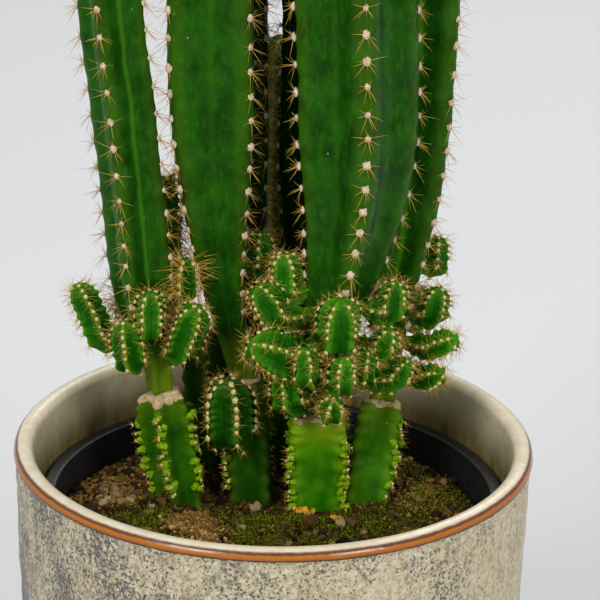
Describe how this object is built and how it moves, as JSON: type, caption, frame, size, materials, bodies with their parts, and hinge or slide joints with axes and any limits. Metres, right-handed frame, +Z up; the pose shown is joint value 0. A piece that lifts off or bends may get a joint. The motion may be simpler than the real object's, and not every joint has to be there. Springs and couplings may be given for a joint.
{
  "type": "potted tall cactus",
  "caption": "Tall clump of four-angled columnar cactus stems with short offsets crowded round their feet, growing in soil in a plastic nursery pot inside a round glazed stoneware cover pot.",
  "frame": {"origin": "centre of the cover pot's underside, on the surface that the pot stands on", "axes": "+Z up along the pot's axis; the largest column and the fullest clump of offsets face -Y; +X to the right seen from there"},
  "size_m": [0.155, 0.155, 0.408],
  "materials": {
    "stoneware_glaze": "cream reactive glaze with dark pitted speckles, glossy iron-brown band on the rim",
    "black_plastic": "thin black nursery-pot plastic, slightly dusty",
    "potting_soil": "loose dark soil with moss, dry fibres and pale grit",
    "old_stem": "old matt green cactus skin, corky at the base",
    "column_skin": "deep green waxy cactus skin, satin",
    "offset_skin": "fresh green cactus skin, satin"
  },
  "bodies": {
    "root": {"cover_pot": "stoneware_glaze", "nursery_pot": "black_plastic", "soil": "potting_soil", "stump_left": "old_stem", "stump_mid_left": "old_stem", "stump_centre": "old_stem", "stump_right": "old_stem", "stump_back": "old_stem", "stump_back_left": "old_stem", "column_left": "column_skin", "column_mid_left": "column_skin", "column_back_left": "column_skin", "column_centre": "column_skin", "column_back_right": "column_skin", "column_right": "column_skin", "offset_left_1": "offset_skin", "offset_left_2": "offset_skin", "offset_left_3": "offset_skin", "offset_left_4": "offset_skin", "offset_left_5": "offset_skin", "offset_left_6": "offset_skin", "offset_left_7": "offset_skin", "offset_middle": "offset_skin", "offset_centre_1": "offset_skin", "offset_centre_2": "offset_skin", "offset_centre_3": "offset_skin", "offset_centre_4": "offset_skin", "offset_centre_5": "offset_skin", "offset_centre_6": "offset_skin", "offset_centre_7": "offset_skin", "offset_centre_8": "offset_skin", "offset_centre_9": "offset_skin", "offset_centre_10": "offset_skin", "offset_centre_11": "offset_skin", "offset_centre_12": "offset_skin", "offset_centre_13": "offset_skin", "offset_right_1": "offset_skin", "offset_right_2": "offset_skin", "offset_right_3": "offset_skin", "offset_right_4": "offset_skin", "offset_right_5": "offset_skin", "offset_right_6": "offset_skin", "offset_back_1": "offset_skin", "offset_back_2": "offset_skin", "offset_back_3": "offset_skin", "offset_back_4": "offset_skin"}
  },
  "joints": []
}
